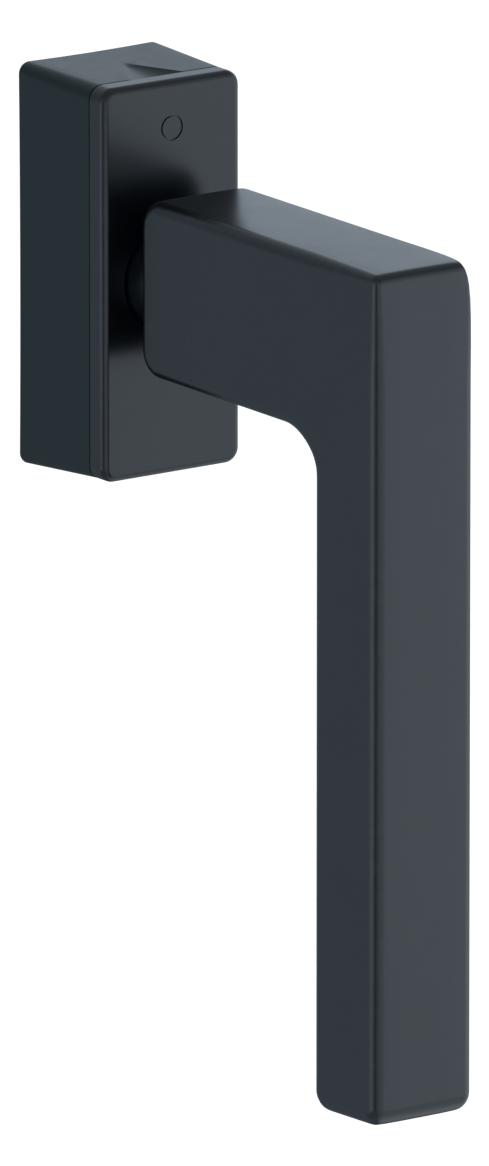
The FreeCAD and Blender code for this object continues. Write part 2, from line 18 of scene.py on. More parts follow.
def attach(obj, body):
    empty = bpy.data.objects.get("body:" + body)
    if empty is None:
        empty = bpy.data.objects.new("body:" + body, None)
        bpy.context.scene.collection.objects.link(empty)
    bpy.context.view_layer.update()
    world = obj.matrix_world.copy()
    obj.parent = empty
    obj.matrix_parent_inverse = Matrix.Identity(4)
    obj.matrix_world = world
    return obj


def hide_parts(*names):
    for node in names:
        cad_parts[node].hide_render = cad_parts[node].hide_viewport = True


MM = 0.001
QUARTER = math.pi / 2

# Camera: the photograph's viewing angle, from far away with a long lens
CAMERA_AZIMUTH = math.radians(35.02)
CAMERA_ELEVATION = math.radians(14.486)
CAMERA_DISTANCE = 3.5
CAMERA_TARGET = Vector((-0.3, -45.76, -48.06)) * MM
CAMERA_LENS = 649.1
CAMERA_SENSOR = 36.0
CAMERA_CLIP = (0.1, 40.0)

# Studio: brightness by compass direction, counted in degrees from straight in front (-Y)
# towards the left (-X), in three rings: under the horizon, above it, and well down towards
# the floor. Overhead it is even. One gives way to the next between the two elevations named
# FROM and TO, in degrees, and the rings are a little bluer round COOL_SIDE.
LOW_RING = [
    (0, 1.60), (30, 1.40), (48, 1.00), (61, 0.10), (74, 0.80), (86, 1.90),
    (104, 1.90), (122, 1.00), (145, 0.54), (160, 0.55), (184, 0.30), (235, 0.35),
    (265, 0.95), (292, 2.10), (325, 1.95), (360, 1.60),
]
HIGH_RING = [
    (0, 0.90), (90, 0.80), (145, 0.45), (165, 0.50), (190, 1.04), (225, 1.04),
    (255, 0.90), (300, 1.25), (325, 1.30), (360, 0.90),
]
FOOT_RING = [
    (0, 1.20), (60, 0.60), (150, 0.50), (180, 0.25), (222, 0.17), (238, 0.60),
    (255, 1.10), (320, 1.30), (360, 1.20),
]
BRIGHTEST = 2.1
OVERHEAD = 0.55
HIGH_FROM, HIGH_TO = -9.0, 12.0
OVERHEAD_FROM, OVERHEAD_TO = 15.0, 42.0
FOOT_FROM, FOOT_TO = -18.0, -30.0
COOL_SIDE = 170
COOL_REACH = 80
COOL = 0.13
STUDIO_TINT = (0.84, 0.93, 1.0)
WHITE = (1.0, 1.0, 1.0)
# Strength of the plain white light that rough faces get
SOFT_LIGHT = 1.35
# The floor, in metres
FLOOR_Z = -0.45
FLOOR_RADIUS = 2.4
FLOOR_SHADE = 0.9

# Steps round each kind of circle
BORE_STEPS = 72
NECK_STEPS = 64
RING_STEPS = 48
HOLE_STEPS = 32
SCREW_STEPS = 28
BOSS_STEPS = 20
FLOOR_STEPS = 96
# Where the middle of a small rounded edge lies, as a share of its radius
ROUND_MIDDLE = 0.3

# Rose
ROSE_HALF_WIDTH = 14.0
ROSE_HALF_HEIGHT = 33.75
ROSE_DEPTH = 24.3
ROSE_CORNER = 2.6
HOUSING_DEPTH = 20.1
HOUSING_WALL = 1.7
HOUSING_FRONT = 2.6
REAR_HALF_WIDTH = 14.4
REAR_TOP = 34.1
REAR_BOTTOM = -35.1
REAR_BOW = 0.15
REAR_CORNER = 2.0
REAR_RIM = 0.35
SEAM = 0.25
SEAM_EDGE = 0.12
COVER_WALL = 1.2
COVER_EDGE = 1.3
COVER_EDGE_STEPS = 10
COVER_BORE_R = 9.55
COVER_BORE_EDGE = 0.2
SCOOP_LENGTH = 10.9
SCOOP_HALF_WIDTH = 5.2
SCOOP_SOFT_WIDTH = 6.2
SCOOP_DEEP = 1.1
SCOOP_ONSET = 0.3
SCOOP_LEAST = 0.08
COLLAR_HALF_WIDTH = 11.45
COLLAR_HALF_HEIGHT = 31.2
COLLAR_CORNER = 1.8
COLLAR_WALL = 1.2
COLLAR_HEIGHT = 2.3
COLLAR_EDGE = 0.15
SNAP_LOW = 0.2
SNAP_HIGH = 1.8
SNAP_AT = 12.0
SNAP_HALF = 4.5
SNAP_DEEP = 0.5
RING_AT = 25.6
RING_OUTER = 2.2
RING_INNER = 1.9
RING_DEEP = 0.25
CAVITY_CORNER = 1.2
CAVITY_FLARE = 0.2
CAVITY_FLARE_DEPTH = 0.25
BUSH_R = 9.0
BUSH_END = 12.5
BEARING_BOSS_R = 10.8
PLATE_THICK = 2.6
PLATE_SCREW_X = 9.4
PLATE_SCREW_Z = 28.8
BOSS_R = 2.4
PILOT_R = 1.0
PILOT_END = 11.6
STAKE_X = 10.2
STAKE_Z = 13.5
STAKE_R = 1.5
STAKE_END = 10.4
STAKE_PIN_R = 0.9
STAKE_PIN_END = 8.8
STAKE_PIN_EDGE = 0.2

# Fixing screws
SCREW_ZS = (-21.5, 21.5)
SCREW_HEAD_R = 4.6
SCREW_SHANK_R = 2.25
SCREW_THREAD_R = 2.5
SCREW_ROOT_R = 2.05
SCREW_PITCH = 0.8
SCREW_TIP = 14.9
SCREW_TIP_LENGTH = 0.8
SCREW_TIP_TAPER = 0.7
SCREW_TIP_R = 1.4
SCREW_HEAD_HEIGHT = 2.1
# How far the head's rim is cut in, and down
SCREW_HEAD_EDGE = (0.15, 0.12)
SCREW_SHANK_END = 0.2
CROSS_DEPTH = 1.5
# Half length and half width of the cross recess at its mouth and at its floor
CROSS_MOUTH = (2.4, 0.5)
CROSS_FLOOR = (1.7, 0.35)
# The thread's flanks: their height over a crest, before it is cut off at 0 and 1, and how
# much they fall in a pitch
THREAD_PEAK = 2.2
THREAD_SLOPE = 4.84
THREAD_FADE = 0.5
THREAD_ROW = 0.1
SCREW_HOLE_R = 2.75
COUNTERSINK_R = 4.7
COUNTERSINK_DEPTH = 1.75

# Lever
LEVER_HALF_WIDTH = 10.1
LEVER_TOP = 16.0
ARM_BOTTOM = -14.5
ARM_REAR = 28.8
LEVER_FRONT = 97.4
GRIP_REAR = 78.9
LEVER_BOTTOM = -129.45
BOTTOM_SLOPE = 0.4
INNER_ROUND = 5.0
INNER_REACH = 9.3
INNER_DROP = 6.9
ARM_REAR_ROUND = 4.6
ARM_TOP_ROUND = 4.9
TOP_ROUND = 1.6
BOTTOM_ROUND = 3.4
LEVER_EDGE = 2.0
LEVER_CROWN = 0.24
FOOT_EDGE = 2.4
TOP_EDGE = 1.25
FOOT_CROWN = 0.2
FOOT_CROWN_FADE = 10.0
CORNER_SPAN = 18.0
SOFT_CORNER = 3.6
SOFT_CORNER_DROP = 4.5
SOFT_CORNER_REACH = 7.5
SOFT_CORNER_END = 0.03
# How far from the corner the lever's flat side has points of its own, so that it can bend
SOFT_CORNER_GRID = (3.5, 5.0, 7.0, 10.0, 14.0)
# Where the steps beside the lever's top front corner lie, as shares of CORNER_SPAN
CLOSING_IN = (1.0, 0.7, 0.45, 0.28, 0.14, 0.06)
# Rings across the lever's flat part, as shares of half its width
FLAT_SHARES = (-0.9, -0.75, -0.6, -0.3, 0.0, 0.3, 0.6, 0.75, 0.9)
ROLL_STEPS = 8
NECK_R = 9.25
NECK_EDGE = 0.3
NECK_SHOULDER = 21.8
STUB_R = 7.0
STUB_END = 10.0
STUB_EDGE = 0.3
GROOVE_R = 6.2
GROOVE = (10.7, 11.75)
SPINDLE_HALF = 3.5
SPINDLE_IN = 34.0

# Shading: how strongly a face holds its own normal at its corners, and how much more each
# level weighs than the one before
ROUND, CYLINDER, PLANE = 0, 1, 2
HOLD_WEIGHT = 1000.0
# What delaunay_2d_cdt is asked for, and the distance below which it merges points
TRIANGLES_INSIDE = 1
MERGE_IN_PLANE = 1e-5
MERGE_ROUND_NECK = 1e-4

# Materials: the span in which most noise lies, the pointedness at which an edge starts and
# ends to wear, and the noise and size in millimetres of the patches that it wears in
NOISE_SPAN = (0.3, 0.7)
WEAR_POINTED = (0.53, 0.62)
WEAR_PATCHES = (0.48, 0.75)
WEAR_SIZE = 2.2
# Size of the patches of uneven gloss, as a share of the colour clouds' size
GLOSS_SIZE = 0.37
# Metres from ridge to ridge of a wave texture with a scale of 1
WAVE_PITCH = 0.314
# A Mix node's colour sockets
MIX_FIRST, MIX_SECOND, MIX_RESULT = 6, 7, 2

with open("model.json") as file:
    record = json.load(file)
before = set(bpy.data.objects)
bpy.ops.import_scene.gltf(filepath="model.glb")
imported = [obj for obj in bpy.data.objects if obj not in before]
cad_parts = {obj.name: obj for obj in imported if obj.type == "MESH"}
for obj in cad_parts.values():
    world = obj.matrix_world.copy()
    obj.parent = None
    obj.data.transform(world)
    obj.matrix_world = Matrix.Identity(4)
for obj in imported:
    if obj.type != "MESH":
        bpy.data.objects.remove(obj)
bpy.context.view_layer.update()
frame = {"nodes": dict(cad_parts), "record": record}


# -------- mesh helpers

def corner_normals(bm, hold, split):
    """A normal for each face corner. Planes win over rounds, and sharp edges split it."""
    bm.normal_update()
    bm.verts.index_update()
    bm.faces.index_update()
    found = {}
    for vert in bm.verts:
        left = list(vert.link_faces)
        while left:
            group = [left.pop()]
            for face in group:
                for edge in face.edges:
                    if vert not in edge.verts or len(edge.link_faces) != 2:
                        continue
                    if edge.calc_face_angle() > split:
                        continue
                    for other in edge.link_faces:
                        if other in left:
                            left.remove(other)
                            group.append(other)
            total = Vector()
            for face in group:
                corner = next(loop for loop in face.loops if loop.vert is vert)
                total += face.normal * corner.calc_angle() * HOLD_WEIGHT ** face[hold]
            for face in group:
                found[face.index, vert.index] = total.normalized()
    return [found[face.index, loop.vert.index] for face in bm.faces for loop in face.loops]


def is_inside(point, loop):
    """Whether a flat point is inside a closed loop of flat points."""
    crossed = False
    for a, b in zip(loop, loop[1:] + loop[:1]):
        if (a.y > point.y) != (b.y > point.y):
            if point.x < a.x + (point.y - a.y) / (b.y - a.y) * (b.x - a.x):
                crossed = not crossed
    return crossed


def closed_edges(start, count):
    """Index pairs round a loop of count points that begins at start."""
    return [(start + i, start + (i + 1) % count) for i in range(count)]


class Piece:
    """Collects one closed mesh from rings of points given in millimetres."""

    def __init__(self, name):
        self.name = name
        self.bm = bmesh.new()
        self.hold = self.bm.faces.layers.int.new("hold")
        self.edge = self.bm.verts.layers.float.new("edge")

    def point(self, x, depth, z, edge=0.0):
        vert = self.bm.verts.new((x * MM, -depth * MM, z * MM))
        vert[self.edge] = edge
        return vert

    def circle(self, radius, depth, angles, x=0.0, z=0.0, edge=0.0):
        return [self.point(x + radius * math.cos(a), depth, z + radius * math.sin(a), edge)
                for a in angles]

    def face(self, verts, hold=ROUND):
        self.bm.faces.new(verts)[self.hold] = hold

    def bridge(self, first, second, hold=ROUND, closed=True, skip=()):
        """Quads between two rings. hold is one value, or one for each step round them."""
        count = len(first)
        for i in range(count if closed else count - 1):
            if i in skip:
                continue
            j = (i + 1) % count
            held = hold[i] if isinstance(hold, list) else hold
            self.face((first[i], first[j], second[j], second[i]), held)

    def fill(self, outer, holes=(), inner=()):
        """Triangles across a plane of one depth or one x, from an outer loop to its holes,
        through any inner points."""
        verts = list(outer)
        edges = closed_edges(0, len(outer))
        for hole in holes:
            edges += closed_edges(len(verts), len(hole))
            verts += hole
        verts += inner
        spread = [max(vert.co[i] for vert in outer) - min(vert.co[i] for vert in outer)
                  for i in (0, 1)]
        axis = 0 if spread[0] > spread[1] else 1
        flat = {vert: Vector((vert.co[axis], vert.co[2])) / MM for vert in verts}
        flat_holes = [[flat[vert] for vert in hole] for hole in holes]
        _, _, triangles, source, _, _ = delaunay_2d_cdt(list(flat.values()), edges, [],
                                                        TRIANGLES_INSIDE, MERGE_IN_PLANE)
        for triangle in triangles:
            corners = [verts[source[corner][0]] for corner in triangle]
            middle = sum((flat[vert] for vert in corners), Vector((0, 0))) / 3
            if not any(is_inside(middle, hole) for hole in flat_holes):
                self.face(corners, PLANE)

    def lathe(self, start, steps, angles, x=0.0, z=0.0):
        """Rings of (radius, depth, hold) carried on from a ring. Returns the last one."""
        for radius, depth, hold in steps:
            ring = self.circle(radius, depth, angles, x, z)
            self.bridge(start, ring, hold)
            start = ring
        return start

    def make(self, body, nodes, slot, finish=None, split=40.0):
        """Finishes the piece, in its slot's material or in a finish of its own."""
        bmesh.ops.recalc_face_normals(self.bm, faces=self.bm.faces[:])
        normals = corner_normals(self.bm, self.hold, math.radians(split))
        mesh = bpy.data.meshes.new(self.name)
        self.bm.to_mesh(mesh)
        self.bm.free()
        mesh.shade_smooth()
        mesh.normals_split_custom_set(normals)
        mesh.materials.append(MATERIALS[finish or slot])
        piece = bpy.data.objects.new(self.name, mesh)
        bpy.context.scene.collection.objects.link(piece)
        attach(piece, body)
        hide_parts(*nodes)


def turn(count):
    """Even angles round a full turn."""
    return [2 * math.pi * i / count for i in range(count)]


def blend(a, b, share):
    return a + (b - a) * share


def rounded_rectangle(half_width, low, high, corner, side_cuts=(), segments=8):
    """Points (x, z, outward x, outward z), counter-clockwise from the right side's foot,
    with extra ones on both sides at the heights in side_cuts."""
    points = [(half_width, z, 1.0, 0.0) for z in sorted(side_cuts)]
    corners = [
        (half_width - corner, high - corner, 0),
        (corner - half_width, high - corner, 1),
        (corner - half_width, low + corner, 2),
        (half_width - corner, low + corner, 3),
    ]
    for centre_x, centre_z, quarter in corners:
        for step in range(segments + 1):
            angle = QUARTER * (quarter + step / segments)
            out_x, out_z = math.cos(angle), math.sin(angle)
            points.append((centre_x + corner * out_x, centre_z + corner * out_z, out_x, out_z))
        if quarter == 1:
            points += [(-half_width, z, -1.0, 0.0) for z in sorted(side_cuts, reverse=True)]
    return points


def inset(outline, amount):
    """The (x, z) of a rounded rectangle's points, moved inward."""
    return [(x - out_x * amount, z - out_z * amount) for x, z, out_x, out_z in outline]


def straight_holds(outline):
    """PLANE for each step along a straight side, and CYLINDER round a corner."""
    holds = []
    for i, (_, _, out_x, out_z) in enumerate(outline):
        _, _, next_x, next_z = outline[(i + 1) % len(outline)]
        same = abs(out_x - next_x) + abs(out_z - next_z) < 1e-6
        holds.append(PLANE if same else CYLINDER)
    return holds


# -------- lever

def arc_steps(centre, radius, bulge, start, end, segments, edges=(LEVER_EDGE, LEVER_EDGE)):
    """Steps of an arc in the lever's side view: its circle, which way it bulges, the angle,
    and the radius of the edge round there."""
    steps = []
    for i in range(segments + 1):
        share = i / segments
        angle = math.radians(blend(start, end, share))
        steps.append((centre, radius, bulge, angle, blend(edges[0], edges[1], share)))
    return steps


def straight_steps(start, end, angle, shares):
    """Steps of a straight stretch from the top front corner, whose edge is tighter."""
    return [((blend(start[0], end[0], share), blend(start[1], end[1], share)), TOP_ROUND, 1,
             math.radians(angle), blend(TOP_EDGE, LEVER_EDGE, share)) for share in shares]


def lever_steps():
    """The lever's side view, from the arm's rear over its top, down the front, round the
    foot and up the grip's rear. Its inner corner starts INNER_DROP under the arm with a
    radius of INNER_ROUND, and runs into a wider arc that ends INNER_REACH behind the grip."""
    rest = (INNER_REACH - INNER_ROUND) ** 2 + INNER_DROP ** 2 - INNER_ROUND ** 2
    wide = rest / (2 * (INNER_DROP - INNER_ROUND))
    meet = math.degrees(math.atan2(wide - INNER_DROP, INNER_REACH - INNER_ROUND))
    rear, rear_top, top, foot = ARM_REAR_ROUND, ARM_TOP_ROUND, TOP_ROUND, BOTTOM_ROUND
    heel = LEVER_BOTTOM - BOTTOM_SLOPE
    steps = arc_steps((ARM_REAR + rear_top, LEVER_TOP - rear_top), rear_top, 1, 180, 90, 10)
    corner = (LEVER_FRONT - top, LEVER_TOP - top)
    steps += straight_steps(corner, (corner[0] - CORNER_SPAN, corner[1]), 90, CLOSING_IN)
    steps += arc_steps(corner, top, 1, 90, 0, 8, (TOP_EDGE, TOP_EDGE))
    steps += straight_steps(corner, (corner[0], corner[1] - CORNER_SPAN), 0, CLOSING_IN[::-1])
    steps += arc_steps((LEVER_FRONT - foot, LEVER_BOTTOM + foot), foot, 1, 0, -90, 9,
                       (LEVER_EDGE, FOOT_EDGE))
    steps += arc_steps((GRIP_REAR + foot, heel + foot), foot, 1, -90, -180, 9,
                       (FOOT_EDGE, LEVER_EDGE))
    steps += arc_steps((GRIP_REAR - INNER_ROUND, ARM_BOTTOM - INNER_DROP), INNER_ROUND, -1,
                       0, meet, 8)
    steps += arc_steps((GRIP_REAR - INNER_REACH, ARM_BOTTOM - wide), wide, -1,
                       meet, 90, 9)[1:]
    steps += arc_steps((ARM_REAR + rear, ARM_BOTTOM + rear), rear, 1, -90, -180, 10)
    return steps


def crown(x):
    """How far the faces round the lever fall away at a distance from its middle."""
    return LEVER_CROWN * (x / LEVER_HALF_WIDTH) ** 4


def shaped(x, depth, z):
    """The lever's small departures from square: the front and rear of its foot stand a
    little higher, and its upper right front corner is polished rounder."""
    middle, half = (LEVER_FRONT + GRIP_REAR) / 2, (LEVER_FRONT - GRIP_REAR) / 2
    fade = min(max(1 - (z - LEVER_BOTTOM) / FOOT_CROWN_FADE, 0.0), 1.0)
    lift = FOOT_CROWN * fade * ((depth - middle) / half) ** 2
    away = (LEVER_TOP - z) / SOFT_CORNER_DROP + (LEVER_FRONT - depth) / SOFT_CORNER_REACH
    pull = max(SOFT_CORNER / (1 + away) ** 2 - SOFT_CORNER_END, 0.0)
    return x - pull * max(x / LEVER_HALF_WIDTH, 0.0) ** 4, depth, z + lift


def lever_sections():
    """(side, x within the flat part, roll round the edge) of each ring across the lever."""
    rolls = [QUARTER * i / ROLL_STEPS for i in range(ROLL_STEPS + 1)]
    sections = [(-1, 1.0, roll) for roll in reversed(rolls)]
    sections += [(1, share, 0.0) for share in FLAT_SHARES]
    return sections + [(1, 1.0, roll) for roll in rolls]


def lever_ring(piece, steps, section):
    """The lever's outline at one section. The faces round it are crowned across."""
    side, flat_share, roll = section
    ring = []
    worn = math.sin(2 * roll)
    for centre, radius, bulge, angle, edge in steps:
        x = side * (flat_share * (LEVER_HALF_WIDTH - edge) + edge * math.sin(roll))
        offset = edge * (1 - math.cos(roll)) + crown(x)
        reach = radius - bulge * offset
        ring.append(piece.point(*shaped(x, centre[0] + reach * math.cos(angle),
                                        centre[1] + reach * math.sin(angle)), worn))
    return ring


def arm_rear_depth(x):
    """Depth of the arm's rear face, which its crown and edge rounds bend forward."""
    out = min(max(abs(x) - LEVER_HALF_WIDTH + LEVER_EDGE, 0.0) / LEVER_EDGE, 1.0)
    return ARM_REAR + crown(x) + LEVER_EDGE * (1 - math.sqrt(1 - out * out))


def neck_angles(sections):
    """The angles where the neck crosses the rings' lines, and even steps between them."""
    crossings = []
    for side, flat_share, roll in sections:
        flat = flat_share * (LEVER_HALF_WIDTH - LEVER_EDGE)
        x = side * (flat + LEVER_EDGE * math.sin(roll))
        if abs(x) < NECK_R:
            cross = math.acos(x / NECK_R)
            crossings += [cross, 2 * math.pi - cross]
    least_gap = math.radians(2.0)
    even = [a for a in turn(NECK_STEPS) if all(abs(a - cross) > least_gap for cross in crossings)]
    return sorted(even + crossings)


def arm_rear_face(piece, rings, neck):
    """The arm's rear face with the neck's outline let into it."""
    verts = [ring[end] for ring in rings for end in (-1, 0)]
    edges = [(2 * i, 2 * i + 1) for i in range(len(rings))]
    edges += [(i, i + 2) for i in range(len(verts) - 2)]
    edges += closed_edges(len(verts), len(neck))
    verts += neck
    flat = [Vector((vert.co.x, vert.co.z)) / MM for vert in verts]
    flat_neck = flat[-len(neck):]
    points, _, triangles, source, _, _ = delaunay_2d_cdt(flat, edges, [], TRIANGLES_INSIDE,
                                                         MERGE_ROUND_NECK)
    placed = []
    for point, origin in zip(points, source):
        if origin:
            placed.append(verts[origin[0]])
        else:
            placed.append(piece.point(point.x, arm_rear_depth(point.x), point.y))
    for triangle in triangles:
        middle = sum((points[i] for i in triangle), Vector((0, 0))) / 3
        if not is_inside(middle, flat_neck):
            on_plane = abs(middle.x) < LEVER_HALF_WIDTH - LEVER_EDGE
            piece.face([placed[i] for i in triangle], CYLINDER if on_plane else ROUND)


def square_loop(piece, half, depth, segments=4):
    """A square hole's outline, with a few points on each side."""
    points = []
    corners = [(half, half), (-half, half), (-half, -half), (half, -half)]
    for (x, z), (next_x, next_z) in zip(corners, corners[1:] + corners[:1]):
        for i in range(segments):
            share = i / segments
            points.append(piece.point(blend(x, next_x, share), depth, blend(z, next_z, share)))
    return points


def lever_stub(piece, neck, angles):
    """The neck from the arm inward, its thinner stub with the clip's groove, and the square
    hole for the spindle."""
    edge = NECK_EDGE * ROUND_MIDDLE
    end = piece.lathe(neck, [
        (NECK_R, NECK_SHOULDER + NECK_EDGE, CYLINDER),
        (NECK_R - edge, NECK_SHOULDER + edge, ROUND),
        (NECK_R - NECK_EDGE, NECK_SHOULDER, ROUND),
        (STUB_R, NECK_SHOULDER, PLANE),
        (STUB_R, GROOVE[1], CYLINDER),
        (GROOVE_R, GROOVE[1], PLANE),
        (GROOVE_R, GROOVE[0], CYLINDER),
        (STUB_R, GROOVE[0], PLANE),
        (STUB_R, STUB_END + STUB_EDGE, CYLINDER),
        (STUB_R - STUB_EDGE, STUB_END, ROUND),
    ], angles)
    mouth = square_loop(piece, SPINDLE_HALF, STUB_END)
    floor = square_loop(piece, SPINDLE_HALF, SPINDLE_IN)
    piece.fill(end, [mouth])
    piece.bridge(mouth, floor, PLANE)
    piece.fill(floor)


def build_lever():
    piece = Piece("lever_casting")
    steps = lever_steps()
    sections = lever_sections()
    rings = [lever_ring(piece, steps, section) for section in sections]
    for first, second, section in zip(rings, rings[1:], sections):
        crossing = section[1] < 1.0 or section == (-1, 1.0, 0.0)
        piece.bridge(first, second, CYLINDER if crossing else ROUND, closed=False)
    piece.fill(rings[0])
    piece.fill(rings[-1], inner=[
        piece.point(*shaped(LEVER_HALF_WIDTH, LEVER_FRONT - back, LEVER_TOP - down))
        for back in SOFT_CORNER_GRID for down in SOFT_CORNER_GRID])
    angles = neck_angles(sections)
    neck = [piece.point(NECK_R * math.cos(a), arm_rear_depth(NECK_R * math.cos(a)),
                        NECK_R * math.sin(a)) for a in angles]
    arm_rear_face(piece, rings, neck)
    lever_stub(piece, neck, angles)
    piece.make("lever", ["lever"], "coated_aluminium")


# -------- rose cover

def build_cover():
    piece = Piece("rose_cover")
    rear = HOUSING_DEPTH + SEAM
    outline = rounded_rectangle(ROSE_HALF_WIDTH, -ROSE_HALF_HEIGHT, ROSE_HALF_HEIGHT,
                                ROSE_CORNER)
    holds = straight_holds(outline)

    def ring(amount, depth, edge=0.0):
        return [piece.point(x, depth, z, edge) for x, z in inset(outline, amount)]

    inner_rear = ring(COVER_WALL, rear)
    rim = ring(SEAM_EDGE, rear)
    rounded = ring(SEAM_EDGE * ROUND_MIDDLE, rear + SEAM_EDGE * ROUND_MIDDLE, 1.0)
    wall = ring(0, rear + SEAM_EDGE)
    piece.bridge(inner_rear, rim, PLANE)
    piece.bridge(rim, rounded)
    piece.bridge(rounded, wall)
    holding = holds
    for i in range(COVER_EDGE_STEPS + 1):
        roll = QUARTER * i / COVER_EDGE_STEPS
        depth = ROSE_DEPTH - COVER_EDGE * (1 - math.sin(roll))
        following = ring(COVER_EDGE * (1 - math.cos(roll)), depth, math.sin(2 * roll))
        piece.bridge(wall, following, holding)
        wall = following
        holding = ROUND
    angles = turn(BORE_STEPS)
    bore = piece.circle(COVER_BORE_R + COVER_BORE_EDGE, ROSE_DEPTH, angles)
    ring_angles = turn(RING_STEPS)
    groove = piece.circle(RING_OUTER, ROSE_DEPTH, ring_angles, z=RING_AT)
    piece.fill(wall, [bore, groove])
    groove = piece.lathe(groove, [
        (RING_OUTER, ROSE_DEPTH - RING_DEEP, CYLINDER),
        (RING_INNER, ROSE_DEPTH - RING_DEEP, PLANE),
        (RING_INNER, ROSE_DEPTH, CYLINDER),
    ], ring_angles, z=RING_AT)
    piece.fill(groove)
    inside = ROSE_DEPTH - COVER_WALL
    edge = COVER_BORE_EDGE * ROUND_MIDDLE
    bore = piece.lathe(bore, [
        (COVER_BORE_R + edge, ROSE_DEPTH - edge, ROUND),
        (COVER_BORE_R, ROSE_DEPTH - COVER_BORE_EDGE, ROUND),
        (COVER_BORE_R, inside, CYLINDER),
    ], angles)
    inner_front = ring(COVER_WALL, inside)
    piece.fill(inner_front, [bore])
    piece.bridge(inner_front, inner_rear, holds)
    piece.make("cover", ["cover_cap"], "coated_aluminium", "coated_cover")


# -------- rose housing

def scoop_drop(x, depth):
    """How far the pry scoop lies under the housing's top: crisp on the right, soft on the
    left and at its point."""
    share = (depth - HOUSING_DEPTH + SCOOP_LENGTH) / SCOOP_LENGTH
    if share <= 0:
        return 0.0
    onset = min(share / SCOOP_ONSET, 1.0)
    deep = SCOOP_DEEP * share * onset * onset * (3 - 2 * onset)
    if x < 0:
        out = min(-x / (SCOOP_SOFT_WIDTH * share), 1.0)
        return deep * (1 - out * out) ** 2
    out = min(x / (SCOOP_HALF_WIDTH * share), 1.0)
    return deep * (1 - out * out)


def spaced(start, end, count):
    """Even steps between two values, without the values themselves."""
    return [blend(start, end, i / count) for i in range(1, count)]


def housing_row(depth):
    """(x, z) all round the housing at one depth, counter-clockwise from the right side's
    foot. Its sides are bowed at the rear, and the scoop is let into its top."""
    share = depth / HOUSING_DEPTH
    half = blend(REAR_HALF_WIDTH, ROSE_HALF_WIDTH, share)
    low = blend(REAR_BOTTOM, -ROSE_HALF_HEIGHT, share)
    high = blend(REAR_TOP, ROSE_HALF_HEIGHT, share)
    corner = blend(REAR_CORNER, ROSE_CORNER, share)
    bow = REAR_BOW * (1 - share)
    opened = max((depth - HOUSING_DEPTH + SCOOP_LENGTH) / SCOOP_LENGTH, SCOOP_LEAST)
    crisp, soft = SCOOP_HALF_WIDTH * opened, SCOOP_SOFT_WIDTH * opened
    end = half - corner
    upright = spaced(-1, 1, 20)
    across = [x / end for x in spaced(end, crisp, 6) + [crisp] + spaced(crisp, 0, 12) + [0.0]
              + spaced(0, -soft, 14) + [-soft] + spaced(-soft, -end, 6)]
    middle, reach = (high + low) / 2, (high - low) / 2 - corner

    def quarter(centre_x, centre_z, number):
        return [(centre_x + corner * math.cos(QUARTER * (number + i / 8)),
                 centre_z + corner * math.sin(QUARTER * (number + i / 8))) for i in range(9)]

    row = [(half - bow * (1 - t * t), middle + reach * t) for t in upright]
    row += quarter(end, high - corner, 0)
    row += [(t * end, high - bow * (1 - t * t) - scoop_drop(t * end, depth)) for t in across]
    row += quarter(-end, high - corner, 1)
    row += [(bow * (1 - t * t) - half, middle - reach * t) for t in upright]
    row += quarter(-end, low + corner, 2)
    row += [(t * end, low + bow * (1 - t * t)) for t in spaced(-1, 1, 12)]
    row += quarter(end, low + corner, 3)
    return row


def shrunk(row, amount):
    """A row moved inward along its own normals."""
    moved = []
    for i, (x, z) in enumerate(row):
        before, after = row[i - 1], row[(i + 1) % len(row)]
        along = Vector((after[0] - before[0], after[1] - before[1])).normalized()
        moved.append((x - along.y * amount, z + along.x * amount))
    return moved


def housing_skin(piece):
    """The outside of the housing, in rings at (depth, how far in) stations from its rear rim
    to its front edge. Returns the first and the last ring."""
    rear_edge, front_edge = REAR_RIM * ROUND_MIDDLE, SEAM_EDGE * ROUND_MIDDLE
    stations = [(0.0, REAR_RIM), (rear_edge, rear_edge), (REAR_RIM, 0.0)]
    scoop_from = HOUSING_DEPTH - SCOOP_LENGTH
    front = HOUSING_DEPTH - SEAM_EDGE
    stations += [(depth, 0.0) for depth in spaced(REAR_RIM, scoop_from, 6)]
    stations += [(scoop_from, 0.0)]
    stations += [(depth, 0.0) for depth in spaced(scoop_from, front, 20)]
    stations += [(front, 0.0), (HOUSING_DEPTH - front_edge, front_edge),
                 (HOUSING_DEPTH, SEAM_EDGE)]
    rings = []
    for depth, amount in stations:
        row = shrunk(housing_row(depth), amount)
        edge = 1.0 if amount else 0.0
        rings.append([piece.point(x, depth, z, edge) for x, z in row])
    for (near, amount), first, second in zip(stations, rings, rings[1:]):
        main = amount == 0.0 and near < front
        piece.bridge(first, second, CYLINDER if main else ROUND)
    return rings[0], rings[-1]


def snap_pocket(piece, corners, sign):
    """A shallow box sunk into a collar's side, where one of its quads would be."""
    sunk = [piece.point(v.co.x / MM - sign * SNAP_DEEP, -v.co.y / MM, v.co.z / MM)
            for v in corners]
    piece.bridge(corners, sunk, PLANE)
    piece.face(sunk, PLANE)


def pocket_steps(outline):
    """Which steps along the collar's straight sides are the ones with snap pockets."""
    found = []
    for i, (_, z, out_x, _) in enumerate(outline):
        _, next_z, next_out_x, _ = outline[(i + 1) % len(outline)]
        straight = out_x == next_out_x and abs(out_x) == 1.0
        if straight and math.isclose(abs(z + next_z) / 2, SNAP_AT):
            found.append(i)
    return found


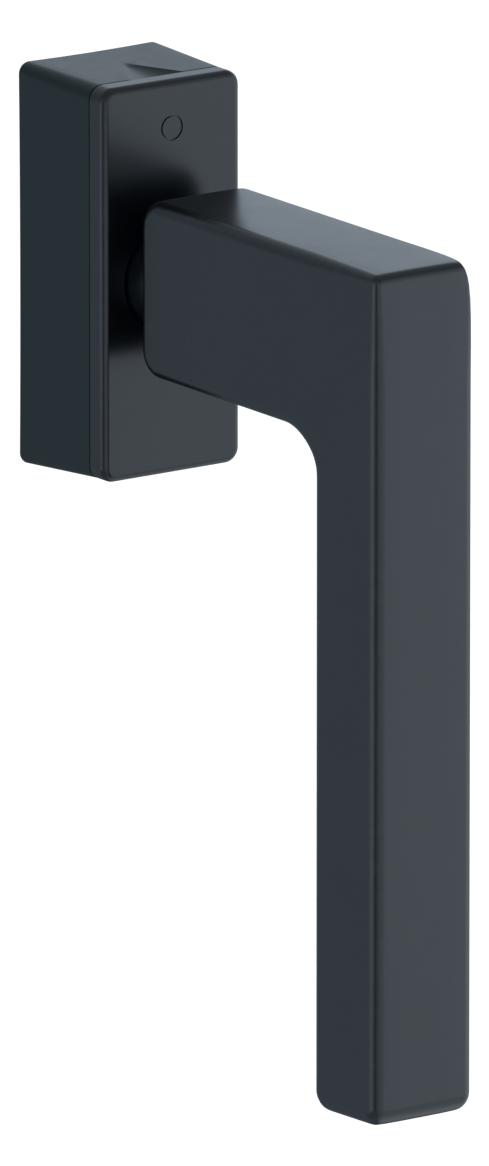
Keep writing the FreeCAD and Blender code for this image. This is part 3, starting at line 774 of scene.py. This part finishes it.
def housing_collar(piece, outline):
    """The collar that the cover's frame snaps on. Returns its outer and inner foot."""
    holds = straight_holds(outline)
    top = HOUSING_DEPTH + COLLAR_HEIGHT
    profile = [(0.0, HOUSING_DEPTH),
               (0.0, HOUSING_DEPTH + SNAP_LOW),
               (0.0, HOUSING_DEPTH + SNAP_HIGH),
               (0.0, top - COLLAR_EDGE),
               (COLLAR_EDGE, top),
               (COLLAR_WALL - COLLAR_EDGE, top),
               (COLLAR_WALL, top - COLLAR_EDGE),
               (COLLAR_WALL, HOUSING_DEPTH)]
    rings = [[piece.point(x, depth, z) for x, z in inset(outline, amount)]
             for amount, depth in profile]
    for level, (first, second) in enumerate(zip(rings, rings[1:])):
        pockets = pocket_steps(outline) if level == 1 else []
        for i in pockets:
            j = (i + 1) % len(outline)
            snap_pocket(piece, [first[i], first[j], second[j], second[i]], outline[i][2])
        piece.bridge(first, second, holds, skip=pockets)
    return rings[0], rings[-1]


def front_holes(piece, inner_front):
    """The bearing's seat and the countersunk holes. Returns their loops at the front and
    at the back of the housing's front wall."""
    around = turn(NECK_STEPS)
    seat = piece.circle(BUSH_R, HOUSING_DEPTH, around)
    front = [seat]
    back = [piece.lathe(seat, [
        (BUSH_R, BUSH_END, CYLINDER),
        (BEARING_BOSS_R, BUSH_END, PLANE),
        (BEARING_BOSS_R, inner_front, CYLINDER),
    ], around)]
    small = turn(HOLE_STEPS)
    for z in SCREW_ZS:
        sink = piece.circle(COUNTERSINK_R, HOUSING_DEPTH, small, z=z)
        front.append(sink)
        back.append(piece.lathe(sink, [
            (SCREW_HOLE_R, HOUSING_DEPTH - COUNTERSINK_DEPTH, CYLINDER),
            (SCREW_HOLE_R, inner_front, CYLINDER),
        ], small, z=z))
    return front, back


def inner_post(piece, x, z, radius, inner_front, steps):
    """A post or boss on the back of the front wall. Returns the loop round its foot."""
    tiny = turn(BOSS_STEPS)
    foot = piece.circle(radius, inner_front, tiny, x, z)
    piece.fill(piece.lathe(foot, steps, tiny, x, z))
    return foot


def inner_posts(piece, inner_front):
    """The bosses for the plate's screws and the stakes for the detent springs."""
    boss = [
        (BOSS_R, PLATE_THICK, CYLINDER),
        (PILOT_R, PLATE_THICK, PLANE),
        (PILOT_R, PILOT_END, CYLINDER),
    ]
    stake = [
        (STAKE_R, STAKE_END, CYLINDER),
        (STAKE_PIN_R, STAKE_END, PLANE),
        (STAKE_PIN_R, STAKE_PIN_END + STAKE_PIN_EDGE, CYLINDER),
        (STAKE_PIN_R - STAKE_PIN_EDGE, STAKE_PIN_END, ROUND),
    ]
    feet = [inner_post(piece, x, z, BOSS_R, inner_front, boss)
            for x in (-PLATE_SCREW_X, PLATE_SCREW_X) for z in (-PLATE_SCREW_Z, PLATE_SCREW_Z)]
    return feet + [inner_post(piece, x, STAKE_Z, STAKE_R, inner_front, stake)
                   for x in (-STAKE_X, STAKE_X)]


def build_housing():
    piece = Piece("rose_housing")
    rear_rim, front_rim = housing_skin(piece)
    cuts = [sign * SNAP_AT + half for sign in (-1, 1) for half in (-SNAP_HALF, SNAP_HALF)]
    collar = rounded_rectangle(COLLAR_HALF_WIDTH, -COLLAR_HALF_HEIGHT, COLLAR_HALF_HEIGHT,
                               COLLAR_CORNER, cuts, 5)
    collar_foot, collar_inside = housing_collar(piece, collar)
    piece.fill(front_rim, [collar_foot])
    inner_front = HOUSING_DEPTH - HOUSING_FRONT
    front, back = front_holes(piece, inner_front)
    piece.fill(collar_inside, front)
    back += inner_posts(piece, inner_front)

    cavity = rounded_rectangle(ROSE_HALF_WIDTH - HOUSING_WALL, HOUSING_WALL - ROSE_HALF_HEIGHT,
                               ROSE_HALF_HEIGHT - HOUSING_WALL, CAVITY_CORNER, (), 5)
    deep = [piece.point(x, inner_front, z) for x, z in inset(cavity, 0)]
    near = [piece.point(x, CAVITY_FLARE_DEPTH, z) for x, z in inset(cavity, 0)]
    mouth = [piece.point(x, 0, z) for x, z in inset(cavity, -CAVITY_FLARE)]
    piece.fill(deep, back)
    piece.bridge(deep, near, straight_holds(cavity))
    piece.bridge(near, mouth)
    piece.fill(rear_rim, [mouth])
    piece.make("base", ["base_housing"], "housing_plastic", split=15.0)


# -------- fixing screws

def thread_radius(inward, angle):
    """The screw's radius at a distance behind the sash's face: a rolled thread with flat
    crests and roots, fading out at both ends, and a tapered tip."""
    tip = SCREW_TIP - SCREW_TIP_LENGTH
    run_out = max(min(inward / SCREW_TIP_LENGTH, (tip - inward) / THREAD_FADE, 1.0), 0.0)
    phase = (inward / SCREW_PITCH - angle / (2 * math.pi)) % 1.0
    height = min(max(THREAD_PEAK - THREAD_SLOPE * abs(phase - 0.5), 0.0), 1.0)
    radius = blend(SCREW_ROOT_R, SCREW_THREAD_R, height * run_out)
    return radius - max(inward - tip, 0.0) * SCREW_TIP_TAPER


def cross_loop(piece, z, depth, size):
    """The outline of a cross recess."""
    reach, half = size
    points = []
    for quarter in range(4):
        c, s = math.cos(QUARTER * quarter), math.sin(QUARTER * quarter)
        for across, along in ((reach, -half), (reach, half), (half, half)):
            points.append(piece.point(across * c - along * s, depth, z + across * s + along * c))
    return points


def screw_head(piece, z, angles):
    """The countersunk head with its cross recess, and the plain shank."""
    head = HOUSING_DEPTH
    edge_in, edge_down = SCREW_HEAD_EDGE
    rim = piece.circle(SCREW_HEAD_R - edge_in, head, angles, z=z, edge=1.0)
    mouth = cross_loop(piece, z, head, CROSS_MOUTH)
    piece.fill(rim, [mouth])
    sunk = cross_loop(piece, z, head - CROSS_DEPTH, CROSS_FLOOR)
    piece.bridge(mouth, sunk, PLANE)
    piece.fill(sunk)
    return piece.lathe(rim, [
        (SCREW_HEAD_R, head - edge_down, ROUND),
        (SCREW_SHANK_R, head - SCREW_HEAD_HEIGHT, CYLINDER),
        (SCREW_SHANK_R, SCREW_SHANK_END, CYLINDER),
    ], angles, z=z)


def build_screws():
    piece = Piece("countersunk_screws")
    angles = turn(SCREW_STEPS)
    for z in SCREW_ZS:
        ring = screw_head(piece, z, angles)
        for row in range(round(SCREW_TIP / THREAD_ROW)):
            inward = row * THREAD_ROW
            following = []
            for angle in angles:
                radius = thread_radius(inward, angle)
                following.append(piece.point(radius * math.cos(angle), -inward,
                                             z + radius * math.sin(angle)))
            piece.bridge(ring, following, ROUND if row else PLANE)
            ring = following
        piece.fill(piece.lathe(ring, [(SCREW_TIP_R, -SCREW_TIP, ROUND)], angles, z=z))
    piece.make("base", ["fixing_screws"], "zinc_plated_steel", split=50.0)


# -------- node helpers

def link(tree, source, target):
    tree.links.new(source, target)


def math_node(tree, operation, a, b=None):
    """A math node on numbers or sockets."""
    node = tree.nodes.new("ShaderNodeMath")
    node.operation = operation
    for socket, value in zip(node.inputs, (a, b)):
        if value is None:
            continue
        if isinstance(value, (int, float)):
            socket.default_value = value
        else:
            link(tree, value, socket)
    return node.outputs[0]


def remap(tree, value, low, high, to_low, to_high, smooth=False):
    """A value's span moved to another, and cut off at its ends."""
    node = tree.nodes.new("ShaderNodeMapRange")
    node.interpolation_type = "SMOOTHSTEP" if smooth else "LINEAR"
    link(tree, value, node.inputs["Value"])
    for name, amount in (("From Min", low), ("From Max", high),
                         ("To Min", to_low), ("To Max", to_high)):
        node.inputs[name].default_value = amount
    return node.outputs["Result"]


def noise(tree, place, size, detail=3.0, stretch=(1.0, 1.0, 1.0)):
    """Noise whose blobs are about size millimetres, drawn out along an axis by stretch."""
    mapping = tree.nodes.new("ShaderNodeMapping")
    mapping.inputs["Scale"].default_value = [1.0 / (size * MM * s) for s in stretch]
    link(tree, place, mapping.inputs["Vector"])
    node = tree.nodes.new("ShaderNodeTexNoise")
    node.inputs["Scale"].default_value = 1.0
    node.inputs["Detail"].default_value = detail
    link(tree, mapping.outputs[0], node.inputs["Vector"])
    return node.outputs["Fac"]


def mixed_color(tree, share, first, second):
    """Two colours or sockets, mixed by a share of the second."""
    node = tree.nodes.new("ShaderNodeMix")
    node.data_type = "RGBA"
    link(tree, share, node.inputs[0])
    for socket, color in ((node.inputs[MIX_FIRST], first), (node.inputs[MIX_SECOND], second)):
        if isinstance(color, tuple):
            socket.default_value = (*color, 1.0)
        else:
            link(tree, color, socket)
    return node.outputs[MIX_RESULT]


def bumped(tree, height, distance, before=None):
    """A bump of a height in millimetres, on top of another."""
    node = tree.nodes.new("ShaderNodeBump")
    node.inputs["Distance"].default_value = distance * MM
    link(tree, height, node.inputs["Height"])
    if before is not None:
        link(tree, before, node.inputs["Normal"])
    return node.outputs[0]


def scaled(color, factor):
    return tuple(min(channel * factor, 1.0) for channel in color)


def surface(slot, color, rough, metal=0.0, tone=0.12, tone_size=9.0, rough_spread=0.05,
            grain=(0.3, 0.002), wave=None, stretch=(1.0, 1.0, 1.0), level=0.5,
            tint=(1.0, 1.0, 1.0), worn=None, coat=0.0):
    """A material: colour clouds, uneven gloss, a fine grain and a coarser wave in its
    surface, and a touch of wear where an edge is marked or pointed."""
    material = bpy.data.materials.new(slot)
    material.use_nodes = True
    tree = material.node_tree
    shader = tree.nodes["Principled BSDF"]
    shader.inputs["Metallic"].default_value = metal
    shader.inputs["Specular IOR Level"].default_value = level
    shader.inputs["Specular Tint"].default_value = (*tint, 1.0)
    shader.inputs["Coat Weight"].default_value = coat
    place = tree.nodes.new("ShaderNodeTexCoord").outputs["Object"]
    clouds = noise(tree, place, tone_size, 4.0, stretch)
    shade = mixed_color(tree, remap(tree, clouds, *NOISE_SPAN, 0.0, 1.0),
                        scaled(color, 1 - tone), scaled(color, 1 + tone))
    gloss = remap(tree, noise(tree, place, tone_size * GLOSS_SIZE, 5.0, stretch), *NOISE_SPAN,
                  rough - rough_spread, rough + rough_spread)
    if worn:
        color_worn, rough_worn, most = worn
        geometry = tree.nodes.new("ShaderNodeNewGeometry")
        pointed = remap(tree, geometry.outputs["Pointiness"], *WEAR_POINTED, 0.0, 1.0)
        marked = tree.nodes.new("ShaderNodeAttribute")
        marked.attribute_name = "edge"
        along = math_node(tree, "MAXIMUM", pointed, marked.outputs["Fac"])
        patchy = remap(tree, noise(tree, place, WEAR_SIZE, 6.0), *WEAR_PATCHES, 0.0, most)
        share = math_node(tree, "MULTIPLY", along, patchy)
        shade = mixed_color(tree, share, shade, color_worn)
        keep = math_node(tree, "SUBTRACT", 1.0, share)
        gloss = math_node(tree, "ADD", math_node(tree, "MULTIPLY", gloss, keep),
                          math_node(tree, "MULTIPLY", share, rough_worn))
    link(tree, shade, shader.inputs["Base Color"])
    link(tree, gloss, shader.inputs["Roughness"])
    relief = bumped(tree, noise(tree, place, grain[0], 2.0, stretch), grain[1])
    if wave:
        relief = bumped(tree, noise(tree, place, wave[0], 2.0, stretch), wave[1], relief)
    link(tree, relief, shader.inputs["Normal"])
    return material


def banded(material, axis, pitch, distance):
    """Adds even ridges across an axis, such as a coil's turns, pitch millimetres apart."""
    tree = material.node_tree
    shader = tree.nodes["Principled BSDF"]
    place = tree.nodes.new("ShaderNodeTexCoord").outputs["Object"]
    wave = tree.nodes.new("ShaderNodeTexWave")
    wave.bands_direction = axis
    wave.wave_profile = "SIN"
    wave.inputs["Scale"].default_value = WAVE_PITCH / (pitch * MM)
    wave.inputs["Distortion"].default_value = 0.0
    link(tree, place, wave.inputs["Vector"])
    before = shader.inputs["Normal"].links[0].from_socket
    relief = bumped(tree, wave.outputs["Fac"], distance, before)
    link(tree, relief, shader.inputs["Normal"])


# What surface() is given for each material
FINISHES = {
    "coated_aluminium": dict(
        color=(0.0006, 0.0016, 0.0032), rough=0.28, tone=0.18, tone_size=14.0,
        rough_spread=0.01, grain=(0.30, 0.0022), wave=(1.1, 0.0002),
        tint=(0.89, 0.95, 1.0), worn=((0.008, 0.010, 0.012), 0.25, 0.5)),
    "coated_cover": dict(
        color=(0.0005, 0.0014, 0.0028), rough=0.29, tone=0.18, tone_size=11.0,
        rough_spread=0.01, grain=(0.30, 0.0030), wave=(1.3, 0.0002), level=0.46,
        tint=(0.89, 0.94, 1.0), worn=((0.008, 0.010, 0.012), 0.25, 0.5)),
    "housing_plastic": dict(
        color=(0.0006, 0.0018, 0.0022), rough=0.34, tone=0.15, tone_size=10.0,
        rough_spread=0.015, grain=(0.28, 0.0026), wave=(2.4, 0.0002), level=0.32,
        tint=(0.70, 0.98, 1.0), worn=((0.006, 0.008, 0.009), 0.28, 0.5)),
    "zinc_casting": dict(
        color=(0.38, 0.39, 0.40), rough=0.42, metal=1.0, tone=0.12, tone_size=5.0,
        rough_spread=0.09, grain=(0.12, 0.004), wave=(1.6, 0.02),
        worn=((0.56, 0.57, 0.58), 0.22, 0.8)),
    "zinc_plated_steel": dict(
        color=(0.33, 0.345, 0.37), rough=0.30, metal=1.0, tone=0.08, tone_size=4.0,
        rough_spread=0.07, grain=(0.10, 0.002), wave=(0.9, 0.003),
        stretch=(1.0, 5.0, 1.0), worn=((0.52, 0.53, 0.55), 0.20, 0.7)),
    "spring_steel": dict(
        color=(0.27, 0.29, 0.32), rough=0.30, metal=1.0, tone=0.15, tone_size=3.0,
        rough_spread=0.06, grain=(0.08, 0.001), stretch=(1.0, 1.0, 6.0),
        worn=((0.45, 0.46, 0.48), 0.2, 0.6)),
    "soft_iron": dict(
        color=(0.30, 0.31, 0.32), rough=0.48, metal=1.0, tone=0.2, tone_size=2.0,
        grain=(0.09, 0.003), stretch=(8.0, 1.0, 1.0), worn=((0.5, 0.5, 0.5), 0.3, 0.6)),
    "natural_nylon": dict(
        color=(0.74, 0.71, 0.62), rough=0.42, tone=0.05, tone_size=6.0,
        grain=(0.12, 0.002), wave=(2.0, 0.004), worn=((0.82, 0.80, 0.74), 0.3, 0.6)),
    "black_nylon": dict(
        color=(0.012, 0.013, 0.014), rough=0.46, tone=0.15, tone_size=5.0,
        grain=(0.12, 0.003), wave=(1.5, 0.004), worn=((0.03, 0.031, 0.033), 0.34, 0.6)),
    "red_acetal": dict(
        color=(0.48, 0.035, 0.025), rough=0.36, tone=0.08, tone_size=4.0,
        grain=(0.14, 0.002), wave=(1.8, 0.003), worn=((0.60, 0.09, 0.07), 0.28, 0.6)),
    "copper": dict(
        color=(0.66, 0.30, 0.16), rough=0.30, metal=1.0, tone=0.12, tone_size=2.5,
        grain=(0.07, 0.001), coat=0.3, worn=((0.80, 0.45, 0.28), 0.2, 0.5)),
    "nickel_plate": dict(
        color=(0.62, 0.60, 0.56), rough=0.20, metal=1.0, tone=0.05, tone_size=3.0,
        rough_spread=0.05, grain=(0.08, 0.001), worn=((0.42, 0.43, 0.44), 0.3, 0.5)),
    "circuit_board": dict(
        color=(0.010, 0.115, 0.045), rough=0.30, tone=0.16, tone_size=3.0,
        grain=(0.10, 0.002), wave=(0.8, 0.004), coat=0.25,
        worn=((0.35, 0.33, 0.20), 0.5, 0.6)),
    "capacitor_sleeve": dict(
        color=(0.010, 0.011, 0.022), rough=0.26, tone=0.15, tone_size=2.0,
        grain=(0.12, 0.001), wave=(1.0, 0.003), worn=((0.4, 0.4, 0.42), 0.25, 0.7)),
}
# Axis, pitch and height of the ridges on two of them
RIDGES = {"copper": ("X", 0.22, 0.05), "soft_iron": ("Z", 0.35, 0.01)}


def make_materials():
    made = {name: surface(name, **finish) for name, finish in FINISHES.items()}
    for name, ridges in RIDGES.items():
        banded(made[name], *ridges)
    return made


def dress_nodes():
    """Gives every CAD node its slot's material."""
    for subpart in frame["record"]["subparts"]:
        node = frame["nodes"][subpart["node"]]
        node.data.materials.clear()
        node.data.materials.append(MATERIALS[subpart["material_slot"]])


# -------- studio

def make_camera():
    """The photograph's view."""
    data = bpy.data.cameras.new("camera")
    data.sensor_width = CAMERA_SENSOR
    data.lens = CAMERA_LENS
    data.clip_start, data.clip_end = CAMERA_CLIP
    camera = bpy.data.objects.new("camera", data)
    bpy.context.scene.collection.objects.link(camera)
    back = Vector((
        -math.sin(CAMERA_AZIMUTH) * math.cos(CAMERA_ELEVATION),
        -math.cos(CAMERA_AZIMUTH) * math.cos(CAMERA_ELEVATION),
        math.sin(CAMERA_ELEVATION),
    ))
    camera.location = CAMERA_TARGET + back * CAMERA_DISTANCE
    camera.rotation_mode = "QUATERNION"
    camera.rotation_quaternion = (-back).to_track_quat("-Z", "Y")
    bpy.context.scene.camera = camera


def ring_color(degrees, value):
    """A ring stop's colour: a little cooler round the rear."""
    near = max(1 - abs(degrees - COOL_SIDE) / COOL_REACH, 0.0)
    share = value / BRIGHTEST
    return (share * (1 - COOL * near), share, share * (1 + COOL * near), 1.0)


def ring_ramp(tree, turned, ring):
    """The colour of one ring in the direction of turned, from 0 to 1 round the compass."""
    ramp = tree.nodes.new("ShaderNodeValToRGB")
    ramp.color_ramp.interpolation = "EASE"
    elements = ramp.color_ramp.elements
    while len(elements) < len(ring):
        elements.new(0.5)
    for element, (degrees, value) in zip(elements, ring):
        element.position = degrees / 360.0
        element.color = ring_color(degrees, value)
    link(tree, turned, ramp.inputs[0])
    return ramp.outputs["Color"]


def between(tree, height, start, end):
    """How far a direction's height has come from one elevation to another."""
    low, high = math.sin(math.radians(start)), math.sin(math.radians(end))
    return remap(tree, height, low, high, 0.0, 1.0, True)


def background(tree, color, strength):
    """A background shader of a colour or a socket."""
    node = tree.nodes.new("ShaderNodeBackground")
    node.inputs["Strength"].default_value = strength
    if isinstance(color, tuple):
        node.inputs["Color"].default_value = (*color, 1.0)
    else:
        link(tree, color, node.inputs["Color"])
    return node.outputs[0]


def chosen(tree, share, first, second):
    """Two shaders, mixed by a share of the second."""
    node = tree.nodes.new("ShaderNodeMixShader")
    for socket, source in zip(node.inputs, (share, first, second)):
        link(tree, source, socket)
    return node.outputs[0]


def studio_color(tree):
    """The studio's brightness by direction, as a share of BRIGHTEST, in its tint."""
    place = tree.nodes.new("ShaderNodeTexCoord")
    split = tree.nodes.new("ShaderNodeSeparateXYZ")
    link(tree, place.outputs["Generated"], split.inputs[0])
    left = math_node(tree, "MULTIPLY", split.outputs["X"], -1.0)
    front = math_node(tree, "MULTIPLY", split.outputs["Y"], -1.0)
    angle = math_node(tree, "ARCTAN2", left, front)
    turned = math_node(tree, "FRACT", math_node(tree, "DIVIDE", angle, 2 * math.pi))
    height = split.outputs["Z"]
    color = mixed_color(tree, between(tree, height, HIGH_FROM, HIGH_TO),
                        ring_ramp(tree, turned, LOW_RING), ring_ramp(tree, turned, HIGH_RING))
    color = mixed_color(tree, between(tree, height, FOOT_FROM, FOOT_TO), color,
                        ring_ramp(tree, turned, FOOT_RING))
    even = OVERHEAD / BRIGHTEST
    color = mixed_color(tree, between(tree, height, OVERHEAD_FROM, OVERHEAD_TO), color,
                        (even, even, even))
    tinted = tree.nodes.new("ShaderNodeMix")
    tinted.data_type = "RGBA"
    tinted.blend_type = "MULTIPLY"
    tinted.inputs[0].default_value = 1.0
    tinted.inputs[MIX_SECOND].default_value = (*STUDIO_TINT, 1.0)
    link(tree, color, tinted.inputs[MIX_FIRST])
    return tinted.outputs[MIX_RESULT]


def make_world():
    """A soft surround whose brightness depends on direction, seen in reflections only. The
    light on rough faces and the backdrop are plain white."""
    world = bpy.data.worlds.new("studio")
    bpy.context.scene.world = world
    world.use_nodes = True
    tree = world.node_tree
    tree.nodes.clear()
    reflected = background(tree, studio_color(tree), BRIGHTEST)
    rays = tree.nodes.new("ShaderNodeLightPath").outputs
    seen = chosen(tree, rays["Is Diffuse Ray"], reflected, background(tree, WHITE, SOFT_LIGHT))
    seen = chosen(tree, rays["Is Camera Ray"], seen, background(tree, WHITE, 1.0))
    output = tree.nodes.new("ShaderNodeOutputWorld")
    link(tree, seen, output.inputs["Surface"])


def make_floor():
    """A wide pale disc well under the handle, seen from above only."""
    mesh = bpy.data.meshes.new("floor")
    bm = bmesh.new()
    rim = [bm.verts.new((FLOOR_RADIUS * math.cos(a), FLOOR_RADIUS * math.sin(a), FLOOR_Z))
           for a in turn(FLOOR_STEPS)]
    bm.faces.new(rim)
    bm.to_mesh(mesh)
    bm.free()
    floor = bpy.data.objects.new("floor", mesh)
    bpy.context.scene.collection.objects.link(floor)
    floor.visible_glossy = False
    material = bpy.data.materials.new("pale_floor")
    material.use_nodes = True
    tree = material.node_tree
    shader = tree.nodes["Principled BSDF"]
    shader.inputs["Base Color"].default_value = (FLOOR_SHADE, FLOOR_SHADE, FLOOR_SHADE, 1.0)
    shader.inputs["Roughness"].default_value = 0.9
    clear = tree.nodes.new("ShaderNodeBsdfTransparent").outputs[0]
    behind = tree.nodes.new("ShaderNodeNewGeometry").outputs["Backfacing"]
    shown = chosen(tree, behind, shader.outputs[0], clear)
    link(tree, shown, tree.nodes["Material Output"].inputs["Surface"])
    mesh.materials.append(material)


bpy.context.scene.view_settings.view_transform = "Standard"
MATERIALS = make_materials()
make_camera()
make_world()
make_floor()
dress_nodes()
build_housing()
build_cover()
build_lever()
build_screws()
